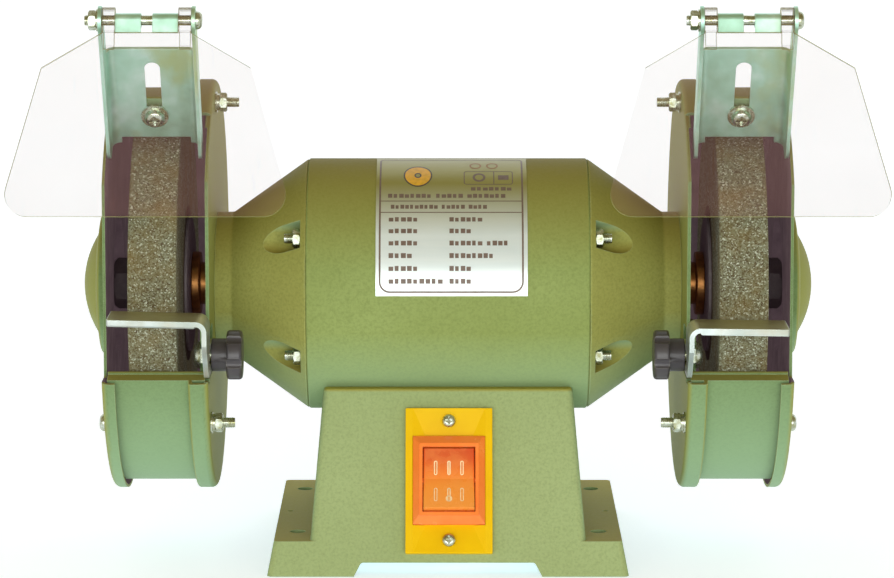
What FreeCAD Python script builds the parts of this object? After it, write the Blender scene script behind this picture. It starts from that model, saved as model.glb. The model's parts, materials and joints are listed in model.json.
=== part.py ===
"""Bench grinder with two 150 mm wheels: every separate piece is written to its own STEP file.

Frame: +X to the right along the arbor, front towards -Y, +Z up.
The origin is on the bench, under the middle of the arbor. All lengths are in millimetres.
A place on a wheel or a guard is given by its radius and its angle, counted up from the front.
"""
import FreeCAD, Part
import math
import os

V = FreeCAD.Vector
X_AXIS = V(1, 0, 0)
ORIGIN = V(0, 0, 0)

# ---------------------------------------------------------------- driving dimensions
AXIS_Z = 112.5            # arbor height above the bench
GAP = 0.05                # running clearance of pins and shafts

WHEEL_R = 75.0
WHEEL_W = 20.0
WHEEL_X = 121.0           # middle plane of each wheel
ARBOR_R = 6.35            # 12.7 mm arbor

SHELL_R = 53.3
SHELL_WALL = 3.5
SHELL_HALF = 59.0
BELL_R = 52.8
BELL_NECK_R = 30.5
BELL_NECK_X = 91.0
BELL_END_X = 98.0         # the guards are bolted to this face
ROD_CIRCLE_R = 46.5
ROD_ANGLE = 32.0
ROD_R = 2.0

GUARD_R = 87.0            # outer lip
BAND_R = 83.5             # band over the wheel
SHEET = 1.4               # guard sheet thickness
LIP_W = 8.0
BAND_END_X = 137.0
COVER_X = 141.5           # outer face of the cover's wall
COVER_SHEET = 1.2
OPEN_LOW = -20.0          # the band is open between these angles
OPEN_HIGH = 57.0
LIP_HIGH = 62.7
WALL_FRONT = 68.0         # front edge of the guard walls
GUARD_BOLT_R = 79.5
GUARD_BOLT_ANGLES = (-38.0, 82.0, 202.0)

BRACKET_X = 120.5         # middle of the spark bracket
BRACKET_W = 39.0
BRACKET_T = 1.5
BRACKET_SCREW_R = 93.5
HINGE_RADIUS = 149.0
HINGE_LIFT = 9.7
SHIELD_TILT = 14.0        # the shield's lower edge stands forward by this angle
SHIELD_T = 2.7

REST_BOLT = (-66.0, AXIS_Z - 20.0)
REST_LEG_X = (97.2, 99.2)
REST_TOP = {-1: (1.0, 1.0), 1: (3.4, -0.5)}    # plate below the arbor, and its rise to the outer end
POCKET_X = 100.4          # recessed face of the guard wall around the tool rest's bolt

BASE_HALF_Y = 70.0        # at the bench
BASE_TOP_Z = 74.1
BASE_TOP_HALF_Y = 43.0
BASE_WALL = 3.5
EAR_TOP = 13.9
EAR_HOLE = (63.0, 45.0, 3.3)
FRONT_ANGLE = math.degrees(math.atan((BASE_HALF_Y - BASE_TOP_HALF_Y) / BASE_TOP_Z))
SWITCH_AT = (0.4, 37.5)

SIDES = {"left": -1, "right": 1}


# ---------------------------------------------------------------- shape helpers
def corner_points(a, b, c, radius):
    """Start, middle and end of the arc that rounds corner b between a and c."""
    to_a = (a - b).normalize()
    to_c = (c - b).normalize()
    half = to_a.getAngle(to_c) / 2
    reach = radius / math.tan(half)
    bisector = (to_a + to_c).normalize()
    centre = b + bisector * (radius / math.sin(half))
    return b + to_a * reach, centre - bisector * radius, b + to_c * reach


def outline(points, plane):
    """Closed face from (a, b) points, or (a, b, radius) where the corner is rounded."""
    flat = [V(p[0], p[1], 0) for p in points]
    edges = []
    pieces = []
    for i, point in enumerate(points):
        if len(point) == 3 and point[2] > 0:
            before = flat[i - 1]
            after = flat[(i + 1) % len(points)]
            pieces.append(corner_points(V(before), V(flat[i]), V(after), point[2]))
        else:
            pieces.append((flat[i],))
    for i, piece in enumerate(pieces):
        if len(piece) == 3:
            edges.append(Part.Arc(*[plane(p) for p in piece]).toShape())
        start = piece[-1]
        end = pieces[(i + 1) % len(pieces)][0]
        if (end - start).Length > 1e-6:
            edges.append(Part.makeLine(plane(start), plane(end)))
    return Part.Face(Part.Wire(edges))


def along_x(points, x0, x1):
    """Prism of a (y, z) outline from x0 to x1."""
    return outline(points, lambda p: V(x0, p.x, p.y)).extrude(V(x1 - x0, 0, 0))


def along_y(points, y0, y1):
    """Prism of an (x, z) outline from y0 to y1."""
    return outline(points, lambda p: V(p.x, y0, p.y)).extrude(V(0, y1 - y0, 0))


def along_z(points, z0, z1):
    """Prism of an (x, y) outline from z0 to z1."""
    return outline(points, lambda p: V(p.x, p.y, z0)).extrude(V(0, 0, z1 - z0))


def turned(points, height=AXIS_Z, y=0.0):
    """Solid of an (x, radius) outline turned about a line parallel to X."""
    face = outline(points, lambda p: V(p.x, y, height + p.y))
    return face.revolve(V(0, y, height), X_AXIS, 360)


def turned_z(points):
    """Solid of a (radius, z) outline turned about the local Z axis."""
    return outline(points, lambda p: V(p.x, 0, p.y)).revolve(ORIGIN, V(0, 0, 1), 360)


def box(x0, x1, y0, y1, z0, z1):
    return Part.makeBox(x1 - x0, y1 - y0, z1 - z0, V(x0, y0, z0))


def rod_x(radius, x0, x1, y=0.0, z=AXIS_Z):
    return Part.makeCylinder(radius, x1 - x0, V(x0, y, z), X_AXIS)


def rod_z(radius, z0, z1, x=0.0, y=0.0):
    return Part.makeCylinder(radius, z1 - z0, V(x, y, z0))


def hexagon(across, x=0.0, y=0.0):
    """Corner points of a hexagon, by its width across the flats."""
    radius = across / math.sqrt(3)
    angles = [math.radians(60 * i) for i in range(6)]
    return [(x + radius * math.cos(a), y + radius * math.sin(a)) for a in angles]


def nut_z(across, bore, z0, z1):
    """Hexagon nut on the local Z axis with chamfered corners."""
    tip = across / math.sqrt(3)
    bevel = tip - across / 2
    barrel = turned_z([(bore, z0), (across / 2, z0), (tip, z0 + bevel), (tip, z1 - bevel),
                       (across / 2, z1), (bore, z1)])
    return along_z(hexagon(across), z0, z1).common(barrel)


def washer_z(outer, bore, z0, z1):
    return turned_z([(bore, z0), (outer, z0), (outer, z1), (bore, z1)])


def pan_head_z(radius, height, z0):
    """Domed screw head with a cross recess, standing on z0."""
    head = turned_z([(0, z0), (radius, z0), (radius, z0 + height, height * 0.75), (0, z0 + height)])
    arm = radius * 0.55
    thin = radius * 0.12
    top = z0 + height
    for half_x, half_y in ((arm, thin), (thin, arm)):
        head = head.cut(box(-half_x, half_x, -half_y, half_y, top - height * 0.45, top + 1))
    return head


def turn_about_x(shape, angle, offset=ORIGIN):
    moved = shape.copy()
    moved.rotate(ORIGIN, X_AXIS, angle)
    moved.translate(offset)
    return moved


def lay_on_x(shape, x, y, z, direction=1):
    """Takes a shape from the local Z axis to a line along +X or -X through (x, y, z)."""
    moved = shape.copy()
    moved.rotate(ORIGIN, V(0, 1, 0), 90 * direction)
    moved.translate(V(x, y, z))
    return moved


def polar(radius, angle):
    """(y, z) at a radius and an angle about the arbor."""
    a = math.radians(angle)
    return -radius * math.cos(a), AXIS_Z + radius * math.sin(a)


def in_radial_frame(shape, angle, x=0.0):
    """Local x stays, local y becomes outward at the angle, local z turns towards lower angles."""
    return turn_about_x(shape, 180 - angle, V(x, 0, AXIS_Z))


def on_front(shape, up=0.0):
    """Local z becomes the front wall's outward normal and local y runs up the wall."""
    y = -(BASE_HALF_Y - SWITCH_AT[1] * math.tan(math.radians(FRONT_ANGLE)))
    placed = shape.copy()
    placed.translate(V(0, up, 0))
    return turn_about_x(placed, 90 - FRONT_ANGLE, V(SWITCH_AT[0], y, SWITCH_AT[1]))


def on_rear(shape, x):
    placed = on_front(shape)
    placed.rotate(ORIGIN, V(0, 0, 1), 180)
    placed.translate(V(x + SWITCH_AT[0], 0, 0))
    return placed


def wedge(low, high, x0, x1, radius=160.0):
    """Sector between two angles about the arbor, used as a cutter."""
    steps = 8
    points = [(0.0, AXIS_Z)]
    for i in range(steps + 1):
        points.append(polar(radius, low + (high - low) * i / steps))
    return along_x(points, x0, x1)


def mirrored(shape, side):
    return shape if side > 0 else shape.mirror(ORIGIN, X_AXIS)


def group(shapes):
    return shapes[0] if len(shapes) == 1 else Part.makeCompound(shapes)


def save(name, shape):
    shape.exportStep("parts/" + name + ".step")


def edges_where(shape, test):
    return [e for e in shape.Edges if test(e)]


# ---------------------------------------------------------------- base
def frustum(bottom, top, z0, z1):
    """Tapered block from its half-widths (x, y) at z0 and z1."""
    wires = []
    for (hx, hy), z in ((bottom, z0), (top, z1)):
        corners = [V(-hx, -hy, z), V(hx, -hy, z), V(hx, hy, z), V(-hx, hy, z), V(-hx, -hy, z)]
        wires.append(Part.makePolygon(corners))
    return Part.makeLoft(wires, True, True)


def base_half_y(z):
    return BASE_HALF_Y - (BASE_HALF_Y - BASE_TOP_HALF_Y) * z / BASE_TOP_Z


def base_half_x(z):
    return 58.4 - (58.4 - 52.0) * z / BASE_TOP_Z


def foot_half_x(z):
    return 75.0 - 2.7 * z / EAR_TOP


def tapered(half_x, z0, z1, inset=0.0):
    bottom = (half_x(z0) - inset, base_half_y(z0) - inset)
    top = (half_x(z1) - inset, base_half_y(z1) - inset)
    return frustum(bottom, top, z0, z1)


def upright(edge):
    span = edge.BoundBox
    return span.ZLength > 8.0


def base_casting():
    pedestal = tapered(base_half_x, 0, BASE_TOP_Z)
    pedestal = pedestal.makeFillet(3.0, edges_where(pedestal, upright))
    foot = tapered(foot_half_x, 0, EAR_TOP)
    foot = foot.makeFillet(2.5, edges_where(foot, upright))
    body = pedestal.fuse(foot).removeSplitter()
    top_rim = edges_where(body, lambda e: e.BoundBox.ZMin > BASE_TOP_Z - 0.1 and e.BoundBox.ZLength < 0.1)
    body = body.makeFillet(1.6, top_rim)
    saddle = rod_x(SHELL_R, -80, 80)
    body = body.cut(saddle)
    hollow = tapered(base_half_x, -1, BASE_TOP_Z - BASE_WALL, BASE_WALL + 0.2)
    hollow = hollow.cut(rod_x(SHELL_R + 4.0, -80, 80))
    foot_hollow = tapered(foot_half_x, -1, EAR_TOP - 4.0, BASE_WALL)
    body = body.cut(hollow).cut(foot_hollow)
    hole_x, hole_y, hole_r = EAR_HOLE
    for sx in (-1, 1):
        for sy in (-1, 1):
            body = body.fuse(rod_z(8.0, 0, EAR_TOP - 2.0, sx * hole_x, sy * hole_y))
            post = rod_z(4.5, 7.2, 20.0, sx * 46.0, sy * 50.0)
            web = box(sx * 46.0 - 2, sx * 46.0 + 2, min(sy * 50, sy * 64), max(sy * 50, sy * 64), 7.2, 20)
            body = body.fuse(post).fuse(web.common(tapered(base_half_x, 0, 25)))
    for sx in (-1, 1):
        for sy in (-1, 1):
            body = body.cut(rod_z(hole_r, -1, EAR_TOP + 1, sx * hole_x, sy * hole_y))
            body = body.cut(rod_z(1.5, 7.0, 17.0, sx * 46.0, sy * 50.0))
            body = body.cut(rod_z(2.6, 40, 70, sx * 34.0, sy * 14.0))
        body = body.cut(Part.makeSphere(1.6, V(sx * 67.6, -3, EAR_TOP + 0.9)))
    arch = [(-39, -1), (39, -1), (39, 0), (36, 5.5, 1.5), (-36, 5.5, 1.5), (-39, 0)]
    body = body.cut(along_y(arch, -80, 80))
    body = body.cut(on_front(box(-13.4, 13.4, -16.6, 16.6, -8, 5)))
    for v in (-25.0, 25.0):
        body = body.cut(on_front(rod_z(1.5, -8, 5), v))
    body = body.cut(on_rear(rod_z(6.1, -8, 5), -36.0))
    return body.cut(rod_z(6.0, 50, 70, 0, 0)).removeSplitter()


def base_bottom_plate():
    corners = [(-52, -60, 4), (52, -60, 4), (52, 60, 4), (-52, 60, 4)]
    plate = along_z(corners, 6.0, 7.2)
    for sx in (-1, 1):
        for sy in (-1, 1):
            plate = plate.cut(rod_z(1.8, 5, 8, sx * 46.0, sy * 50.0))
    for i in range(7):
        x = -30 + 10 * i
        plate = plate.cut(box(x - 1.5, x + 1.5, -20, 20, 5, 8))
    return plate


def bottom_plate_screws():
    screws = []
    for sx in (-1, 1):
        for sy in (-1, 1):
            screw = pan_head_z(3.2, 2.0, 0).fuse(rod_z(1.45, -9.0, 0.1))
            screw.rotate(ORIGIN, X_AXIS, 180)
            screw.translate(V(sx * 46.0, sy * 50.0, 6.0))
            screws.append(screw)
    return group(screws)


def motor_mount_screws():
    """Screws up through the base's saddle into the motor shell."""
    screws = []
    for x in (-34.0, 34.0):
        for y in (-14.0, 14.0):
            seat = AXIS_Z - math.sqrt((SHELL_R + 4.0) ** 2 - 9.4 ** 2)
            tip = AXIS_Z - math.sqrt((SHELL_R - 3.0) ** 2 - 16.5 ** 2)
            head = along_z(hexagon(8.0), seat - 4.4, seat - 1.0)
            collar = rod_z(4.4, seat - 1.0, seat)
            screw = head.fuse(collar).fuse(rod_z(2.5, seat - 2, tip - 1.0))
            screw.translate(V(x, y, 0))
            screws.append(screw)
    return group(screws)


# ---------------------------------------------------------------- switch on the front wall
def solid_of(faces):
    shells = [Part.Face(Part.makePolygon([V(*p) for p in f] + [V(*f[0])])) for f in faces]
    return Part.Solid(Part.Shell(shells))


def switch_bezel():
    half_u, half_v, top = 18.1, 30.5, 3.0
    plate = along_z([(-half_u, -half_v, 0.6), (half_u, -half_v, 0.6), (half_u, half_v, 0.6),
                     (-half_u, half_v, 0.6)], 0, top)
    plate = plate.makeFillet(0.4, edges_where(plate, lambda e: e.BoundBox.ZMin > top - 0.01))
    inner, neck, floor, near = 15.1, 9.7, 1.4, 18.6
    for sign in (1, -1):
        a = (-inner, sign * (half_v + 0.1), top)
        b = (inner, sign * (half_v + 0.1), top)
        c = (inner, sign * near, top)
        d = (-inner, sign * near, top)
        e = (-neck, sign * near, floor)
        f = (neck, sign * near, floor)
        plate = plate.cut(solid_of([(a, b, c, d), (a, b, f, e), (a, e, d), (b, f, c), (d, e, f, c)]))
        plate = plate.cut(rod_z(1.7, -1, 5, 0, sign * 25.0))
    plate = plate.cut(box(-inner, inner, -near - 0.1, near + 0.1, floor, 5))
    return on_front(plate.cut(box(-13.1, 13.1, -16.1, 16.1, -1, 5)))


SWITCH_FRAME = (14.95, 18.55)
WINDOW = (10.9, 13.55)
ROCKER_PIVOT = 3.0
ROCKER_TRAVEL = 8.0       # degrees each side of the middle


def switch_frame():
    half_u, half_v = SWITCH_FRAME
    skirt = box(-half_u, half_u, -half_v, half_v, 1.4, 3.4)
    crown = frustum((half_u, half_v), (12.4, 15.2), 3.4, 6.4)
    collar = box(-12.9, 12.9, -15.9, 15.9, -4.0, 2.0)
    frame = skirt.fuse(crown).removeSplitter()
    slants = edges_where(frame, lambda e: e.BoundBox.ZMin > 3.3 and e.BoundBox.ZLength > 1)
    frame = frame.makeFillet(0.9, slants)
    frame = frame.fuse(collar)
    frame = frame.cut(box(-WINDOW[0], WINDOW[0], -WINDOW[1], WINDOW[1], -5, 8))
    for sign in (-1, 1):
        start = WINDOW[0] - 0.9 if sign > 0 else -WINDOW[0]
        frame = frame.fuse(Part.makeCylinder(1.0, 0.9, V(start, 0, ROCKER_PIVOT), X_AXIS))
    return on_front(frame)


def switch_rocker():
    """Rocker with a shallow V face, stored with its top edge pressed in."""
    half_u, reach = 10.6, 13.25
    round_body = Part.makeCylinder(reach, 2 * half_u, V(-half_u, 0, ROCKER_PIVOT), X_AXIS)
    slope = math.tan(math.radians(ROCKER_TRAVEL))
    crease = 4.9
    points = [(-14, -2.0), (14, -2.0), (14, crease + 14 * slope), (0, crease), (-14, crease + 14 * slope)]
    face = outline(points, lambda p: V(-half_u, p.x, p.y)).extrude(V(2 * half_u, 0, 0))
    rocker = round_body.common(face)
    rims = edges_where(rocker, lambda e: abs(e.BoundBox.XLength) < 0.01 and e.BoundBox.YLength > 8
                       and e.BoundBox.ZMin > 4)
    rocker = rocker.makeFillet(0.7, rims)
    for sign in (-1, 1):
        start = half_u - 0.7 if sign > 0 else -half_u - 0.1
        rocker = rocker.cut(Part.makeCylinder(1.05, 0.8, V(start, 0, ROCKER_PIVOT), X_AXIS))
    rocker.rotate(V(0, 0, ROCKER_PIVOT), X_AXIS, -ROCKER_TRAVEL)
    return on_front(rocker)


def switch_body():
    case = box(-12.9, 12.9, -15.9, 15.9, -26.0, -4.0)
    case = case.makeFillet(0.8, edges_where(case, lambda e: e.BoundBox.ZMax < -25.9))
    room = box(-11.2, 11.2, -14.2, 14.2, -8.0, -3.9)
    return on_front(case.cut(room))


def switch_terminals():
    tabs = []
    for u in (-6.0, 6.0):
        for v in (-9.0, 0.0, 9.0):
            tab = box(u - 0.4, u + 0.4, v - 3.15, v + 3.15, -35.0, -26.0)
            hole = Part.makeCylinder(0.9, 2, V(u - 1, v, -32.0), X_AXIS)
            tabs.append(on_front(tab.cut(hole)))
    return group(tabs)


def switch_screws():
    screws = []
    for v in (-25.0, 25.0):
        screw = pan_head_z(2.75, 2.0, 2.65).fuse(rod_z(1.45, -5.0, 2.8))
        screws.append(on_front(screw, v))
    return group(screws)


# ---------------------------------------------------------------- electrical pieces in the base
CAPACITOR = (18.0, 26.0, 15.0)     # y, z and radius


def run_capacitor():
    y, z, radius = CAPACITOR
    can = turned([(-26, 0), (-26, radius, 1.5), (24, radius, 1.5), (24, radius - 2), (25, radius - 2.5),
                  (25, 0)], z, y)
    for dy in (-5.0, 5.0):
        can = can.fuse(box(24.5, 33.0, y + dy - 3.15, y + dy + 3.15, z - 0.4, z + 0.4))
    return can


def capacitor_clip():
    y, z, radius = CAPACITOR
    ring = rod_x(radius + 1.4, -8, 8, y, z).cut(rod_x(radius + 0.1, -9, 9, y, z))
    ring = ring.cut(box(-9, 9, y - 5, y + 5, z - 20, z - 10))
    for sign in (-1, 1):
        inner = y + sign * 5.0
        outer = y + sign * 12.0
        ring = ring.fuse(box(-8, 8, min(inner, inner + sign * 1.4), max(inner, inner + sign * 1.4), 7.2,
                             z - radius + 0.7))
        foot = box(-8, 8, min(inner, outer), max(inner, outer), 7.2, 8.6)
        ring = ring.fuse(foot.cut(rod_z(1.6, 7, 9, 0, y + sign * 9.0)))
    return ring.removeSplitter()


def terminal_block():
    block = box(34, 48, -20, 10, 7.3, 18)
    for i in range(3):
        y = -15 + 10 * i
        block = block.fuse(box(35.5, 46.5, y - 3.6, y + 3.6, 18, 22))
        block = block.cut(rod_z(2.2, 18.5, 23, 38.5, y)).cut(rod_z(2.2, 18.5, 23, 43.5, y))
        block = block.cut(rod_x(1.9, 33, 49, y, 14.0))
    return block.removeSplitter()


def cable_gland():
    """Nylon gland in the rear wall, with an open passage for the mains lead."""
    flange = along_z(hexagon(18.0), 0, 4.0)
    sleeve = turned_z([(3.7, -12.0), (6.0, -12.0), (6.0, 4.0), (8.2, 4.0), (8.2, 9.0), (6.2, 14.0, 1.0),
                       (3.7, 14.0)])
    back_nut = along_z(hexagon(17.0), -8.0, -BASE_WALL - 0.4)
    gland = flange.fuse(sleeve).fuse(back_nut).cut(rod_z(3.7, -13, 15))
    return on_rear(gland.removeSplitter(), -36.0)


# ---------------------------------------------------------------- motor
def motor_shell():
    inner = SHELL_R - SHELL_WALL
    shell = turned([(-SHELL_HALF, inner), (-SHELL_HALF, SHELL_R, 0.8), (SHELL_HALF, SHELL_R, 0.8),
                    (SHELL_HALF, inner)])
    for x in (-34.0, 34.0):
        for y in (-14.0, 14.0):
            shell = shell.cut(rod_z(2.5, 50, 75, x, y))
    return shell.cut(rod_z(6.0, 50, 75, 0, 0))


def rod_places():
    """(y, z) of the four tie rods."""
    return [polar(ROD_CIRCLE_R, a) for a in (ROD_ANGLE, -ROD_ANGLE, 180 - ROD_ANGLE, 180 + ROD_ANGLE)]


SEAT_X = 61.5


def end_bell(side):
    skin = [(SHELL_HALF, 0), (SHELL_HALF, BELL_R, 0.4), (59.6, BELL_R, 0.5), (BELL_NECK_X, BELL_NECK_R, 2.0),
            (BELL_END_X, BELL_NECK_R), (BELL_END_X, 0)]
    full = turned(skin)
    room = turned([(50, 0), (50, 48.9), (SHELL_HALF, 48.9), (90, 27.0, 2.0), (90, 21.5), (84, 21.5),
                   (84, 17.5), (95.5, 17.5), (95.5, 11.5), (99, 11.5), (99, 0)])
    bell = full.cut(room)
    spigot = turned([(57, 46.6), (57, 49.7), (SHELL_HALF + 1, 49.7), (SHELL_HALF + 1, 46.6)])
    bell = bell.fuse(spigot)
    for y, z in rod_places():
        lug = rod_x(8.2, SHELL_HALF, 78, y, z).common(full)
        bell = bell.fuse(lug)
    for y, z in rod_places():
        out = math.degrees(math.atan2(z - AXIS_Z, y))
        trench = box(SEAT_X, 80, 0, 25, -6.2, 6.2)
        trench.rotate(ORIGIN, X_AXIS, out)
        trench.translate(V(0, y, z))
        bell = bell.cut(rod_x(6.2, SEAT_X, 80, y, z)).cut(trench).cut(rod_x(2.2, 50, 70, y, z))
    for i in range(3):
        y, z = polar(24.0, 30 + 120 * i)
        bell = bell.cut(rod_x(2.1, 93, 99, y, z))
    return mirrored(bell, side)


def motor_tie_rods():
    return group([rod_x(ROD_R, -68.2, 68.2, y, z) for y, z in rod_places()])


def tie_rod_nuts():
    nuts = []
    for y, z in rod_places():
        for side in (-1, 1):
            nuts.append(lay_on_x(nut_z(7.0, ROD_R, 0, 3.2), side * SEAT_X, y, z, side))
    return group(nuts)


STATOR_HALF = 30.0
SLOTS = 12


def slot_cutter(clearance=0.0):
    """Trapezoid slot at the top of the stator, as a prism along X."""
    inner, outer = 33.0 + clearance, 42.5 - clearance
    narrow, wide = 4.2 - clearance, 6.6 - clearance
    points = [(-narrow, inner), (narrow, inner), (wide, outer), (-wide, outer)]
    return along_x(points, -STATOR_HALF - 1, STATOR_HALF + 1)


def around_arbor(shape, angle):
    return turn_about_x(shape, angle, V(0, 0, AXIS_Z))


def stator_core():
    core = turned([(-STATOR_HALF, 30.0), (-STATOR_HALF, 49.7), (STATOR_HALF, 49.7), (STATOR_HALF, 30.0)])
    mouth = box(-STATOR_HALF - 1, STATOR_HALF + 1, -1.2, 1.2, 28, 34)
    for i in range(SLOTS):
        angle = 360.0 * i / SLOTS
        core = core.cut(around_arbor(slot_cutter(), angle)).cut(around_arbor(mouth, angle))
    for y, z in rod_places():
        core = core.cut(rod_x(2.3, -40, 40, y, z))
    return core


def stator_windings():
    coil = None
    for side in (-1, 1):
        near = side * (STATOR_HALF + 0.3)
        far = side * (STATOR_HALF + 15.0)
        ring = turned([(near, 33.5, 1.5), (far, 33.5, 4.0), (far, 43.0, 4.0), (near, 43.0, 1.5)])
        coil = ring if coil is None else coil.fuse(ring)
    for i in range(SLOTS):
        coil = coil.fuse(around_arbor(slot_cutter(0.3), 360.0 * i / SLOTS))
    return coil


# ---------------------------------------------------------------- rotor, bearings and wheels
BEARING = (84.0, 95.0)


def bearing_ring(inner, outer, side, groove):
    x0, x1 = BEARING
    middle = (x0 + x1) / 2
    ring = turned([(x0, inner, 0.4), (x0, outer, 0.4), (x1, outer, 0.4), (x1, inner, 0.4)])
    track = Part.makeTorus(12.5, groove, V(middle, 0, AXIS_Z), X_AXIS)
    return mirrored(ring.cut(track), side)


def bearing_balls():
    balls = []
    middle = sum(BEARING) / 2
    for side in (-1, 1):
        for i in range(8):
            y, z = polar(12.5, 45 * i)
            balls.append(Part.makeSphere(3.0, V(side * middle, y, z)))
    return group(balls)


def bearing_preload_spring():
    """Flat wave washer between the left bearing and its seat, drawn as a thin ring."""
    return turned([(-95.45, 13.6), (-95.45, 17.2), (-95.05, 17.2), (-95.05, 13.6)])


def shaft():
    half = [(0, 8.5), (40, 8.5), (40, 8.0), (70, 8.0), (70, 9.6, 0.3), (BEARING[0], 9.6), (BEARING[0], 7.5),
            (97.0, 7.5), (97.0, ARBOR_R), (147.0, ARBOR_R, 0.8)]
    points = half + [(147.0, 0), (-147.0, 0)] + [(-p[0],) + p[1:] for p in reversed(half[1:])]
    return turned(points)


def rotor_core():
    core = turned([(-STATOR_HALF, 8.5), (-STATOR_HALF, 29.7), (STATOR_HALF, 29.7), (STATOR_HALF, 8.5)])
    for i in range(18):
        y, z = polar(26.5, 20 * i)
        core = core.cut(rod_x(1.6, -40, 40, y, z))
    return core


def rotor_end_rings():
    """Cast cage: an end ring with fan blades on each side and bars through the core."""
    rings = []
    for side in (-1, 1):
        near = side * STATOR_HALF
        far = side * (STATOR_HALF + 6.0)
        ring = turned([(near, 18.0), (near, 29.0, 0.8), (far, 29.0, 0.8), (far, 18.0)])
        for i in range(9):
            blade = box(min(far, far + side * 8), max(far, far + side * 8), -1.0, 1.0, 20.0, 28.5)
            ring = ring.fuse(around_arbor(blade, 40 * i))
        rings.append(ring)
    cage = rings[0].fuse(rings[1])
    for i in range(18):
        y, z = polar(26.5, 20 * i)
        cage = cage.fuse(rod_x(1.55, -STATOR_HALF - 1, STATOR_HALF + 1, y, z))
    return cage


def wheel(side):
    x0, x1 = WHEEL_X - WHEEL_W / 2, WHEEL_X + WHEEL_W / 2
    stone = turned([(x0, ARBOR_R + GAP), (x0, WHEEL_R, 0.8), (x1, WHEEL_R, 0.8), (x1, ARBOR_R + GAP)])
    return mirrored(stone, side)


def pair(points):
    """The same turned piece on both sides."""
    piece = turned(points)
    return group([piece, mirrored(piece, -1)])


WHEEL_IN = WHEEL_X - WHEEL_W / 2
WHEEL_OUT = WHEEL_X + WHEEL_W / 2
BLOTTER = 0.3


def wheel_blotters():
    inner = turned([(WHEEL_IN - BLOTTER, 6.6), (WHEEL_IN - BLOTTER, 33), (WHEEL_IN, 33), (WHEEL_IN, 6.6)])
    outer = turned([(WHEEL_OUT, 6.6), (WHEEL_OUT, 33), (WHEEL_OUT + BLOTTER, 33), (WHEEL_OUT + BLOTTER, 6.6)])
    return group([inner, outer, mirrored(inner, -1), mirrored(outer, -1)])


def wheel_inner_flanges():
    face = WHEEL_IN - BLOTTER
    return pair([(face - 1.8, ARBOR_R), (face - 1.8, 26), (face - 1.2, 29.0, 0.5), (face, 29.0), (face, 22),
                 (face - 0.6, 21), (face - 0.6, ARBOR_R)])


def wheel_outer_flanges():
    face = WHEEL_OUT + BLOTTER
    return pair([(face + 1.8, ARBOR_R), (face + 1.8, 26), (face + 1.2, 29.0, 0.5), (face, 29.0), (face, 22),
                 (face + 0.6, 21), (face + 0.6, ARBOR_R)])


def spacer_bushes():
    end = WHEEL_IN - BLOTTER - 1.8
    return pair([(97.0, ARBOR_R), (97.0, 9.0), (105.2, 9.0), (105.2, 13.5, 0.8), (end, 13.5, 0.4),
                 (end, ARBOR_R)])


def arbor_nuts():
    seat = WHEEL_OUT + BLOTTER + 1.8
    nuts = [lay_on_x(nut_z(19.0, ARBOR_R, 0, 9.0), side * seat, 0, AXIS_Z, side) for side in (-1, 1)]
    return group(nuts)


# ---------------------------------------------------------------- guards
def pocket_outline(inset):
    """Recess of the inner guard's wall around the tool rest's bolt."""
    low = AXIS_Z - 31.0 + inset
    high = AXIS_Z - 8.0 - inset
    return [(-44.0 - inset, low, 4.0), (-90.0, low), (-90.0, high), (-44.0 - inset, high, 4.0)]


def front_window(x0, x1):
    """Cutter for the walls in front of WALL_FRONT, down to the guard's lower lip."""
    low, high = AXIS_Z - 29.0, AXIS_Z + 80
    return along_x([(-120, low), (-120, high), (-WALL_FRONT, high), (-WALL_FRONT, low, 1.6)], x0, x1)


def band_sector(low, high, x0, x1, outer, inner):
    return rod_x(outer, x0, x1).cut(rod_x(inner, x0 - 1, x1 + 1)).common(wedge(low, high, x0, x1))


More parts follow.
